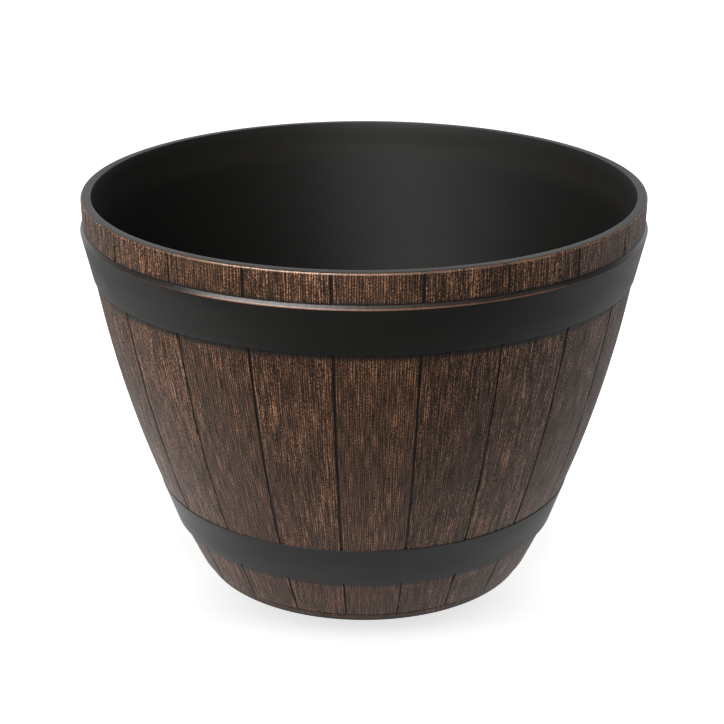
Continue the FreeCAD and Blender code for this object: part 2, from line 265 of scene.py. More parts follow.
@dataclass(frozen=True)
class Cloud:
    """Noise set out in the object's own frame."""

    scale: float = 1.0
    detail: float = 2.0
    roughness: float = 0.5
    stretch: Point = (1.0, 1.0, 1.0)
    start: Point = (0.0, 0.0, 0.0)

    def draw(self, graph: Graph) -> Socket:
        """Sample the noise.

        Args:
            graph: Graph of the material.

        Returns:
            Noise about one half.
        """
        inputs = {"Vector": graph.place(), "Location": self.start, "Scale": self.stretch}
        place = graph.out("ShaderNodeMapping", inputs)
        return graph.noise(place, self.scale, self.detail, self.roughness)


@dataclass(frozen=True)
class CopperBrushWithPaintedLight:
    """How heavily the copper brush went over the edges: a slow noise round the planter, placed heavy at the
    front left and light at the sides, so partly painted highlight and painted shade.
    """

    cloud: Cloud = Cloud(detail=1.0, stretch=(5.0, 5.0, 5.0), start=(283.04, 0.0, 0.0))
    ramp: Ramp = Ramp(0.5, 0.68)

    def reach(self, graph: Graph) -> Socket:
        """Share from 0 to 1 at a point of the planter."""
        return graph.ease(self.cloud.draw(graph), self.ramp)


@dataclass(frozen=True)
class Finish(ABC):
    """A finish that makes one material."""

    name: str

    def build(self) -> Material:
        """Make the material.

        Returns:
            The material.
        """
        material = bpy.data.materials.new(self.name)
        material.use_nodes = True
        graph = Graph(material.node_tree)
        graph.add("ShaderNodeOutputMaterial", {"Surface": self.surface(graph)})
        return material

    @abstractmethod
    def surface(self, graph: Graph) -> Socket:
        """Fill the graph and return its shader."""


@dataclass(frozen=True)
class StavePaint(Finish):
    """Dark brown wood grain, dry-brushed with copper on its ridges and worn edges."""

    name: str = "stave_paint"
    valley: Colour = tint(34, 21, 13)
    brown: Colour = tint(80, 53, 31)
    copper: Colour = tint(126, 82, 57)
    pale_copper: Colour = tint(186, 138, 104)
    rubbed_and_highlight: Colour = tint(206, 164, 134)
    # Colour of the dark seams and cracks, and of the painted shade under the hoops, at the collar's base,
    # under the lip and in the foot groove.
    seam: Colour = tint(17, 14, 12)
    bend: Streak = Streak(30.0, 75.0, 1.0)
    wander: Streak = Streak(5.0, 60.0, 1.0)
    fibre: Streak = Streak(1.15, 24.0, 0.0)
    hair: Streak = Streak(0.9, 9.0, 1.0)
    speck: Streak = Streak(0.85, 1.7, 0.0)
    board: Streak = Streak(6.5, 190.0, 2.0)
    patch: Streak = Streak(32.0, 70.0, 2.0)
    crack: Streak = Streak(7.0, 160.0, 1.0)
    fleck: Streak = Streak(6.0, 400.0, 3.0, 0.7)
    fleck_layer: float = 5.0
    brush: CopperBrushWithPaintedLight = CopperBrushWithPaintedLight()
    sway: float = 1.4
    groove_pitch: float = 2.3
    groove_sway: float = 9.0
    ridge_weights: Weights = (0.12, 0.32, 0.16, 0.4)
    ridge_middle: float = 0.53
    ridge_depth: Ramp = Ramp(200.0 * MM, 390.0 * MM, 1.0, 1.5)
    wear_load: Ramp = Ramp(0.0, 0.3, 0.0, 0.06)
    load_weights: Weights = (1.0, 0.22, 0.24, 0.02, 1.0)
    brushing: Ramp = Ramp(0.75, 0.97)
    browning: Ramp = Ramp(0.4, 0.57)
    shade_weights: Weights = (0.7, 0.3)
    board_shade: Ramp = Ramp(0.3, 0.7, 0.86, 1.12)
    paling: Ramp = Ramp(0.86, 1.0)
    catch_weights: Weights = (1.0, 0.3)
    catching: Ramp = Ramp(0.56, 0.78)
    lip_wear: Ramp = Ramp(0.3, 0.5)
    lip_rub: float = 0.2
    lip_polish: float = 0.4
    lip_coat: float = 0.4
    crack_level: float = 0.42
    crack_edge: Ramp = Ramp(0.012, 0.004)
    crack_patch: Ramp = Ramp(0.46, 0.56)
    crack_dark: float = 0.75
    crack_depth: float = 0.4
    seam_and_shade_edge: Ramp = Ramp(0.1, 0.8)
    polish_weights: Weights = (0.7, 0.3)
    roughness: Ramp = Ramp(0.2, 0.8, 0.54, 0.38)
    metal_weights: Weights = (0.18, 0.35)
    grain_depth: float = 0.5 * MM
    grain_strength: float = 0.7
    shine: Ramp = Ramp(0.36, 0.6, 0.26, 0.64)

    def surface(self, graph: Graph) -> Socket:
        """Draw the grain, brush it with copper, darken its seams and cracks, and paint shade where the mesh
        is marked for it.

        Args:
            graph: Graph of the material.

        Returns:
            The shader.
        """
        column, across, along = stave_axes(graph)
        number = graph.math("FLOOR", column)
        layer = graph.times(number, STAVE_LAYER)
        bend = self.bend.draw(graph, across, along, layer)
        across = graph.math("MULTIPLY_ADD", bend, self.sway, across)
        board, patch, crack = (
            streak.draw(graph, across, along, layer) for streak in (self.board, self.patch, self.crack))
        ridge = self.ridges(graph, across, along, layer)
        tone = graph.out("ShaderNodeTexWhiteNoise", {"W": number}, noise_dimensions="1D")
        wear = graph.mark(Mark.WEAR)

        load = graph.total(self.load_weights, ridge, board, patch, tone, graph.ease(wear, self.wear_load))
        brushed = graph.ease(load, self.brushing)
        wood = graph.blend(graph.ease(ridge, self.browning), self.valley, self.brown)
        shade = graph.ease(graph.total(self.shade_weights, board, tone), self.board_shade)
        wood = graph.blend(1.0, wood, graph.grey(shade), "MULTIPLY")
        metal = graph.blend(graph.ease(load, self.paling), self.copper, self.pale_copper)
        painted = graph.blend(brushed, wood, metal)

        # The lip gets a pale rubbed copper where the brush noise is heavy, at the front: partly worn paint,
        # partly painted highlight.
        fleck = self.fleck.draw(graph, across, along, self.fleck_layer)
        caught = graph.ease(graph.total(self.catch_weights, fleck, self.brush.reach(graph)), self.catching)
        lip = graph.times(graph.ease(wear, self.lip_wear), caught)
        painted = graph.blend(graph.times(lip, self.lip_rub), painted, self.rubbed_and_highlight)

        off_crack = graph.math("ABSOLUTE", graph.math("SUBTRACT", crack, self.crack_level))
        split = graph.times(graph.ease(off_crack, self.crack_edge), graph.ease(patch, self.crack_patch))
        # Dark seams and painted shade from the mesh, together with the dark cracks.
        seam = graph.ease(graph.mark(Mark.SEAM), self.seam_and_shade_edge)
        seam_crack_and_shade = graph.math("MAXIMUM", seam, graph.times(split, self.crack_dark))
        height = graph.math("SUBTRACT", ridge, graph.times(split, self.crack_depth))

        polish = graph.ease(graph.total(self.polish_weights, ridge, brushed), self.roughness)
        rub = graph.math("MULTIPLY_ADD", lip, -self.lip_polish, 1.0)
        return graph.out("ShaderNodeBsdfPrincipled", {
            "Base Color": graph.blend(seam_crack_and_shade, painted, self.seam),
            "Roughness": graph.times(polish, rub),
            "Metallic": graph.total(self.metal_weights, brushed, lip),
            "Coat Weight": graph.times(lip, self.lip_coat),
            "Coat Roughness": 0.3,
            "Coat IOR": 1.9,
            "Normal": graph.bump(height, self.grain_depth, self.grain_strength),
            "Specular IOR Level": graph.ease(ridge, self.shine)})

    def ridges(self, graph: Graph, across: Socket, along: Socket, layer: Socket) -> Socket:
        """Draw the ridges of the grain, which are deeper towards the top of the planter.

        Args:
            graph: Graph of the material.
            across: Place across the grain in millimetres.
            along: Place along the grain in millimetres.
            layer: Number that sets one stave's grain apart from the next.

        Returns:
            Height of the ridges, from about 0 to 1.
        """
        wander, fibre, hair, speck = (
            streak.draw(graph, across, along, layer)
            for streak in (self.wander, self.fibre, self.hair, self.speck))
        phase = graph.total((FULL_TURN / self.groove_pitch, self.groove_sway), across, wander)
        groove = graph.math("MULTIPLY_ADD", graph.math("SINE", phase), 0.5, 0.5)
        ridge = graph.total(self.ridge_weights, groove, fibre, hair, speck)
        _, _, height = graph.split(graph.place())
        above = graph.math("SUBTRACT", ridge, self.ridge_middle)
        return graph.math("MULTIPLY_ADD", above, graph.ease(height, self.ridge_depth), self.ridge_middle)


@dataclass(frozen=True)
class BlackResin(Finish):
    """Bare black resin of the rim, the inside and the underside, with flow lines, a dusty floor and a painted
    lighter band inside the mouth.
    """

    name: str = "black_resin"
    dark: Colour = tint(9, 8, 6)
    light: Colour = tint(17, 15, 12)
    # Lighter colour for the dust on the floor and for the painted light inside the mouth.
    dust: Colour = tint(48, 46, 43)
    flow: Cloud = Cloud(detail=3.0, stretch=(5.0, 5.0, 110.0))
    cloud: Cloud = Cloud(7.0, 3.0)
    peel: Cloud = Cloud(900.0)
    dust_cloud: Cloud = Cloud(60.0, 4.0, 0.6)
    mottle_weights: Weights = (0.3, 0.7)
    mottling: Ramp = Ramp(0.3, 0.7)
    dusting: Ramp = Ramp(0.3, 0.7, 0.7, 1.0)
    haze_weights: Weights = (0.4, 0.6)
    roughness: Ramp = Ramp(0.3, 0.7, 0.56, 0.48)
    peel_depth: float = 0.05 * MM
    peel_strength: float = 0.5

    def surface(self, graph: Graph) -> Socket:
        """Mottle the resin and lighten it where the mesh is marked: dust on the floor, painted light inside
        the mouth.

        Args:
            graph: Graph of the material.

        Returns:
            The shader.
        """
        flow, cloud = self.flow.draw(graph), self.cloud.draw(graph)
        mottle = graph.ease(graph.total(self.mottle_weights, flow, cloud), self.mottling)
        bare = graph.blend(mottle, self.dark, self.light)
        # The wear mark is dust on the floor and painted light inside the mouth.
        dusty = graph.times(graph.mark(Mark.WEAR), graph.ease(self.dust_cloud.draw(graph), self.dusting))
        haze = graph.total(self.haze_weights, flow, cloud)
        return graph.out("ShaderNodeBsdfPrincipled", {
            "Base Color": graph.blend(dusty, bare, self.dust),
            "Roughness": graph.ease(haze, self.roughness),
            "Normal": graph.bump(self.peel.draw(graph), self.peel_depth, self.peel_strength),
            "Specular IOR Level": 0.5})


@dataclass(frozen=True)
class HoopResin(Finish):
    """Satin black hoop with a ledge that the copper brush has caught, heaviest at the front left: partly
    painted highlight, with painted shade at the sides.
    """

    name: str = "hoop_resin"
    body: Colour = tint(22, 21, 19)
    scuffed: Colour = tint(30, 29, 27)
    copper: Colour = tint(116, 82, 62)
    ledge: Colour = tint(50, 42, 36)
    smear: Cloud = Cloud(detail=3.0, stretch=(7.0, 7.0, 30.0))
    peel: Cloud = Cloud(700.0)
    bristle: Streak = Streak(0.9, 7.0, 2.0, 0.6)
    bristle_layer: float = 3.0
    brush: CopperBrushWithPaintedLight = CopperBrushWithPaintedLight()
    brush_weights: Weights = (0.9, 1.1, 0.4)
    brushing: Ramp = Ramp(1.32, 1.95)
    least_share: float = 0.2
    scuffing: Ramp = Ramp(0.35, 0.7)
    ledge_edge: Ramp = Ramp(0.0, 0.3)
    roughness: Ramp = Ramp(0.3, 0.7, 0.46, 0.38)
    ledge_polish: Ramp = Ramp(0.0, 0.3, 1.0, 0.7)
    metal: float = 0.2
    sheen_edge: Ramp = Ramp(0.0, 0.12)
    sheen: Ramp = Ramp(0.35, 0.65, 0.16, 0.42)
    sheen_loss: float = 0.5
    relief_weights: Weights = (0.7, 0.3)
    relief_depth: float = 0.06 * MM
    relief_strength: float = 0.5

    def surface(self, graph: Graph) -> Socket:
        """Smear the resin and brush copper on the ledge.

        Args:
            graph: Graph of the material.

        Returns:
            The shader.
        """
        _, across, along = stave_axes(graph)
        bristle = self.bristle.draw(graph, across, along, self.bristle_layer)
        smear = self.smear.draw(graph)
        reach = self.brush.reach(graph)
        wear = graph.mark(Mark.WEAR)
        brushed = graph.ease(graph.total(self.brush_weights, wear, bristle, reach), self.brushing)
        # The ledge's brown and copper fade to black at the sides with the brush noise: partly painted shade
        # there.
        share = graph.math("MULTIPLY_ADD", reach, 1.0 - self.least_share, self.least_share)
        face = graph.blend(graph.ease(smear, self.scuffing), self.body, self.scuffed)
        face = graph.blend(graph.times(graph.ease(wear, self.ledge_edge), share), face, self.ledge)
        sheen = graph.times(graph.ease(wear, self.sheen_edge), graph.ease(bristle, self.sheen))
        sheen_share = graph.math("MULTIPLY_ADD", brushed, -self.sheen_loss, share)
        relief = graph.total(self.relief_weights, self.peel.draw(graph), bristle)
        return graph.out("ShaderNodeBsdfPrincipled", {
            "Base Color": graph.blend(brushed, face, self.copper),
            "Roughness": graph.times(graph.ease(smear, self.roughness), graph.ease(wear, self.ledge_polish)),
            "Metallic": graph.times(brushed, self.metal),
            "Coat Weight": graph.times(sheen, sheen_share),
            "Coat Roughness": 0.4,
            "Coat IOR": 1.9,
            "Normal": graph.bump(relief, self.relief_depth, self.relief_strength),
            "Specular IOR Level": 0.36})


@dataclass(frozen=True)
class PlugRubber(Finish):
    """Matt black rubber with a fine grey bloom."""

    name: str = "plug_rubber"
    dark: Colour = tint(32, 32, 31)
    bloom: Colour = tint(66, 65, 63)
    cloud: Cloud = Cloud(160.0, 4.0, 0.6)
    pores: Cloud = Cloud(1800.0)
    blooming: Ramp = Ramp(0.4, 0.75)
    roughness: Ramp = Ramp(0.3, 0.7, 0.68, 0.85)
    pore_depth: float = 0.04 * MM
    pore_strength: float = 0.6

    def surface(self, graph: Graph) -> Socket:
        """Lay the bloom and the pores on the rubber.

        Args:
            graph: Graph of the material.

        Returns:
            The shader.
        """
        cloud = self.cloud.draw(graph)
        return graph.out("ShaderNodeBsdfPrincipled", {
            "Base Color": graph.blend(graph.ease(cloud, self.blooming), self.dark, self.bloom),
            "Roughness": graph.ease(cloud, self.roughness),
            "Normal": graph.bump(self.pores.draw(graph), self.pore_depth, self.pore_strength),
            "Specular IOR Level": 0.3})


@dataclass(frozen=True)
class PaleFloor(Finish):
    """Paper that keeps the object's shadow, with a white glow that is darker in reflections of its front; the
    seen glow is dimmer near the foot and in front of it, and off under the planter, a painted shadow.
    """

    name: str = "pale_floor"
    shade: float = 0.8
    front_mirror: Ramp = Ramp(-0.62, -0.22, 0.05, 1.0)
    near_mirror: Ramp = Ramp(0.18, 0.5, 0.82, 0.62)
    far_mirror: Ramp = Ramp(-1.4, -2.2, 0.0, 0.8)
    sheet_side: Ramp = Ramp(-0.12, -0.36, 0.0, 0.35)
    sheet_end: Ramp = Ramp(0.64, 0.46)
    painted_shadow_glow: Ramp = Ramp(-0.19, -0.05, 0.65, 0.86)
    painted_shadow_reach: Place = (0.18, 0.5)
    painted_shadow_under_foot: Ramp = Ramp(0.15, 0.16)

    def surface(self, graph: Graph) -> Socket:
        """Lay the paper, then the glow that is seen and the one that is mirrored.

        Args:
            graph: Graph of the material.

        Returns:
            The shader.
        """
        seen, glossy = graph.rays()
        place = graph.place()
        side, depth, _ = graph.split(place)
        reach = graph.add("ShaderNodeVectorMath", {0: place}, operation="LENGTH").outputs["Value"]
        shade = graph.times(self.shade, graph.math("SUBTRACT", 1.0, glossy))
        paper = graph.out("ShaderNodeBsdfDiffuse", {"Color": graph.grey(shade)})
        front = graph.times(graph.ease(depth, self.front_mirror), graph.ease(reach, self.near_mirror))
        sheet = graph.times(graph.ease(side, self.sheet_side), graph.ease(reach, self.sheet_end))
        mirrored = graph.total((1.0, 1.0, 1.0), front, sheet, graph.ease(depth, self.far_mirror))
        # Painted shadow: the seen glow starts lower near the foot, lowest in front, and is cut off under the
        # planter.
        spread = Ramp(*self.painted_shadow_reach, start=graph.ease(depth, self.painted_shadow_glow))
        white = graph.times(graph.times(seen, graph.ease(reach, spread)), graph.ease(reach, self.painted_shadow_under_foot))
        strength = graph.math("MULTIPLY_ADD", glossy, mirrored, white)
        glow = graph.out("ShaderNodeEmission", {"Strength": strength})
        return graph.out("ShaderNodeAddShader", {0: paper, 1: glow})


@dataclass(frozen=True)
class StaveLine:
    """The arc that the staves are bowed to, in metres from the axis and the ground."""

    bow: float = 1155.0 * MM
    heel: Place = (178.4 * MM, 10.2 * MM)
    top: Place = (282.1 * MM, 376.0 * MM)

    def centre(self) -> Vector:
        """Find the centre of the arc, beyond the axis.

        Returns:
            Its distance from the axis and its height.
        """
        heel, top = Vector(self.heel), Vector(self.top)
        chord = top - heel
        reach = math.sqrt(self.bow ** 2 - chord.length_squared / 4)
        return (heel + top) / 2 + Vector((-chord.y, chord.x)).normalized() * reach

    def radius(self, height: float, depth: float = 0.0) -> float:
        """Distance from the axis to the line at a height, or to a line set in by a depth."""
        centre = self.centre()
        return centre.x + math.sqrt((self.bow - depth) ** 2 - (height - centre.y) ** 2)

    def spot(self, height: float, depth: float = 0.0) -> Place:
        """Place on the line at a height, or on a line set in by a depth."""
        return self.radius(height, depth), height

    def chord_radius(self, height: float, low: float, high: float, stand: float) -> float:
        """Distance from the axis to a straight line beside the one that cuts the arc at two heights.

        Args:
            height: Height at which it is taken.
            low: Lower height of the chord.
            high: Upper height of the chord.
            stand: How far outside the chord, square to it.

        Returns:
            The distance.
        """
        bottom, top = self.radius(low), self.radius(high)
        slope = (top - bottom) / (high - low)
        return bottom + slope * (height - low) + stand * math.hypot(1.0, slope)


@dataclass(frozen=True)
class Station:
    """One corner of a turned section, with what its finish needs to know."""

    radius: float
    height: float
    painted: bool = False
    relief: float = 0.0
    groove: float = 0.0
    wear: float = 0.0
    shade: float = 0.0


class Section:
    """A turned section, drawn as a run of stations."""

    def __init__(self, start: Place) -> None:
        """Start at a place with no marks."""
        self.stations = [Station(*start)]

    def line(self, end: Place, steps: int = 1, **marks: float) -> "Section":
        """Run straight to a place.

        Args:
            end: Radius and height to reach.
            steps: Number of stations to add.
            marks: What the added stations carry.

        Returns:
            The section itself.
        """
        start = self.stations[-1]
        for step in range(1, steps + 1):
            share = step / steps
            radius = start.radius + (end[0] - start.radius) * share
            height = start.height + (end[1] - start.height) * share
            self.stations.append(Station(radius, height, **marks))
        return self

    def curve(self, corner: Place, end: Place, steps: int = 3, **marks: float) -> "Section":
        """Run round a corner to a place.

        Args:
            corner: Corner that the run is drawn towards.
            end: Radius and height to reach.
            steps: Number of stations to add.
            marks: What the added stations carry.

        Returns:
            The section itself.
        """
        start = self.stations[-1]
        for step in range(1, steps + 1):
            share = step / steps
            near, middle, far = (1 - share) ** 2, 2 * share * (1 - share), share ** 2
            radius = near * start.radius + middle * corner[0] + far * end[0]
            height = near * start.height + middle * corner[1] + far * end[1]
            self.stations.append(Station(radius, height, **marks))
        return self

    def lengths(self) -> list[float]:
        """Measure along the section.

        Returns:
            Length of the section up to each station.
        """
        result = [0.0]
        for before, after in zip(self.stations, self.stations[1:]):
            result.append(result[-1] + math.hypot(after.radius - before.radius, after.height - before.height))
        return result


def add_circle(shape: Shape, station: Station, steps: int, centre: Place = (0.0, 0.0),
               start: float = 0.0) -> list[Corner]:
    """Add the corners of a level circle.

    Args:
        shape: The mesh so far, which has wear marks.
        station: Radius, height and wear of the circle.
        steps: Number of corners.
        centre: Middle of the circle.
        start: Angle of the first corner.

    Returns:
        The corners in order.
    """
    wear = shape.verts.layers.float[Mark.WEAR.value]
    corners = []
    for step in range(steps):
        angle = start + FULL_TURN * step / steps
        x = centre[0] + station.radius * math.cos(angle)
        y = centre[1] + station.radius * math.sin(angle)
        corner = shape.verts.new((x, y, station.height))
        corner[wear] = station.wear
        corners.append(corner)
    return corners


def add_band(shape: Shape, first: list[Corner], second: list[Corner]) -> list[Face]:
    """Fill the band between two closed rings of equal count and return its faces."""
    corners = zip(first, first[1:] + first[:1], second[1:] + second[:1], second)
    return [shape.faces.new(four) for four in corners]


def turn_section(section: Section, steps: int, closed: bool) -> Shape:
    """Turn a section about the axis into a ring.

    Args:
        section: The section to turn.
        steps: Number of steps round the axis.
        closed: Whether the last station joins the first.

    Returns:
        The ring, with wear marks and the grain map.
    """
    shape = bmesh.new()
    shape.verts.layers.float.new(Mark.WEAR.value)
    grain = shape.loops.layers.uv.new(GRAIN_MAP)
    lengths = section.lengths()
    rings = [add_circle(shape, station, steps) for station in section.stations]
    last = len(rings) - 1
    for band in range(last + 1 if closed else last):
        for step, face in enumerate(add_band(shape, rings[band], rings[(band + 1) % len(rings)])):
            corners = ((step, band), (step + 1, band), (step + 1, band + 1), (step, band + 1))
            for loop, (column, row) in zip(face.loops, corners):
                around = FULL_TURN * column / steps * section.stations[0].radius
                reach = lengths[min(row, last)]
                loop[grain].uv = (around / (STAVE_PITCH_MM * MM), reach / (STAVE_PITCH_MM * MM))
    return shape


def finish_mesh(name: str, shape: Shape, crease: float = 40.0) -> Piece:
    """Close a shape into an object with smooth faces and crisp edges.

    Args:
        name: Name of the piece.
        shape: The mesh so far, which is used up.
        crease: Angle in degrees above which an edge stays crisp.

    Returns:
        The object, linked to the scene.
    """
    bmesh.ops.remove_doubles(shape, verts=shape.verts, dist=WELD)
    bmesh.ops.recalc_face_normals(shape, faces=shape.faces)
    for face in shape.faces:
        face.smooth = True
    mesh = bpy.data.meshes.new(name)
    shape.to_mesh(mesh)
    shape.free()
    mesh.set_sharp_from_angle(angle=math.radians(crease))
    piece = bpy.data.objects.new(name, mesh)
    bpy.context.scene.collection.objects.link(piece)
    return piece


def settle(piece: Piece, body: str, slot: str, *nodes: str) -> Piece:
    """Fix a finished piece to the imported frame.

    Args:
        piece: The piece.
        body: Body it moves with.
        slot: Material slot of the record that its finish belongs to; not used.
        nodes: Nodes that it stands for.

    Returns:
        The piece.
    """
    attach(piece, body)
    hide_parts(*nodes)
    triangles = sum(len(face.vertices) - 2 for face in piece.data.polygons)
    LOG.info("%s on %s: %d triangles", piece.name, body, triangles)
    return piece


@dataclass(frozen=True)
class StaveRingTree:
    """Node tree that sets one stave wedge round the axis and raises the grain on it."""

    name: str = "stave_ring"
    swell_middle: float = 0.62
    swell_detail: float = 2.0
    swell_roughness: float = 0.6
    sockets: tuple[tuple[str, str], ...] = (
        ("Wedge", "NodeSocketGeometry"), ("Staves", "NodeSocketInt"), ("First seam", "NodeSocketFloat"),
        ("Ridge height", "NodeSocketFloat"), ("Ridge width", "NodeSocketFloat"),
        ("Ridge length", "NodeSocketFloat"), ("Seed", "NodeSocketInt"),
        ("Paint", "NodeSocketMaterial"), ("Resin", "NodeSocketMaterial"))

    def build(self) -> bpy.types.NodeTree:
        """Make the tree.

        Returns:
            The tree.
        """
        tree = bpy.data.node_groups.new(self.name, "GeometryNodeTree")
        for name, kind in self.sockets:
            tree.interface.new_socket(name, in_out="INPUT", socket_type=kind)
        tree.interface.new_socket("Shell", in_out="OUTPUT", socket_type="NodeSocketGeometry")
        graph = Graph(tree)
        given = graph.add("NodeGroupInput").outputs
        grained = self.raise_grain(graph, given, self.repeat(graph, given))
        painted = graph.named(Mark.PAINTED.value, "BOOLEAN")
        bare = graph.out("FunctionNodeBooleanMath", {0: painted}, operation="NOT")
        shell = graph.out("GeometryNodeRealizeInstances", {"Geometry": grained})
        for selection, material in ((painted, "Paint"), (bare, "Resin")):
            inputs = {"Geometry": shell, "Selection": selection, "Material": given[material]}
            shell = graph.out("GeometryNodeSetMaterial", inputs)
        graph.add("NodeGroupOutput", {0: shell})
        return tree

    def repeat(self, graph: Graph, given: bpy.types.NodeOutputs) -> Socket:
        """Set the wedge once for each stave, number the staves and weld them.

        Args:
            graph: Graph of the tree.
            given: The tree's inputs.

        Returns:
            The welded ring.
        """
        points = graph.out("GeometryNodeMeshLine", {"Count": given["Staves"], "Offset": (0.0, 0.0, 0.0)})
        index = graph.out("GeometryNodeInputIndex")
        pitch = graph.math("DIVIDE", FULL_TURN, given["Staves"])
        angle = graph.math("MULTIPLY_ADD", index, pitch, given["First seam"])
        turn = graph.out("FunctionNodeEulerToRotation", {0: graph.combine(0.0, 0.0, angle)})
        inputs = {"Points": points, "Instance": given["Wedge"], "Rotation": turn}
        wedges = graph.out("GeometryNodeInstanceOnPoints", inputs)
        wedges = graph.store(wedges, Mark.STAVE.value, index, "INT", "INSTANCE")
        ring = graph.out("GeometryNodeRealizeInstances", {"Geometry": wedges})
        shift = graph.combine(graph.named(Mark.STAVE.value, "INT"), 0.0, 0.0)
        moved = graph.out("ShaderNodeVectorMath", {0: graph.named(GRAIN_MAP, "FLOAT_VECTOR"), 1: shift})
        ring = graph.store(ring, GRAIN_MAP, moved, "FLOAT2", "CORNER")
        return graph.out("GeometryNodeMergeByDistance", {"Geometry": ring, "Distance": WELD})

    def raise_grain(self, graph: Graph, given: bpy.types.NodeOutputs, ring: Socket) -> Socket:
        """Raise long low ridges on the painted wood.

        Args:
            graph: Graph of the tree.
            given: The tree's inputs.
            ring: The welded ring.

        Returns:
            The ring with its grain.
        """
        column, row, _ = graph.split(graph.named(GRAIN_MAP, "FLOAT_VECTOR"))
        across, along = (graph.times(part, STAVE_PITCH_MM * MM) for part in (column, row))
        number = graph.named(Mark.STAVE.value, "INT")
        layer = graph.math("MULTIPLY_ADD", number, STAVE_LAYER, given["Seed"])
        swell = Streak(given["Ridge width"], given["Ridge length"], self.swell_detail, self.swell_roughness)
        lift = graph.math("SUBTRACT", swell.draw(graph, across, along, layer), self.swell_middle)
        lift = graph.times(graph.times(lift, given["Ridge height"]), graph.named(Mark.RELIEF.value))
        normal = graph.out("GeometryNodeInputNormal")
        offset = graph.out("ShaderNodeVectorMath", {0: normal, "Scale": lift}, operation="SCALE")
        return graph.out("GeometryNodeSetPosition", {"Geometry": ring, "Offset": offset})


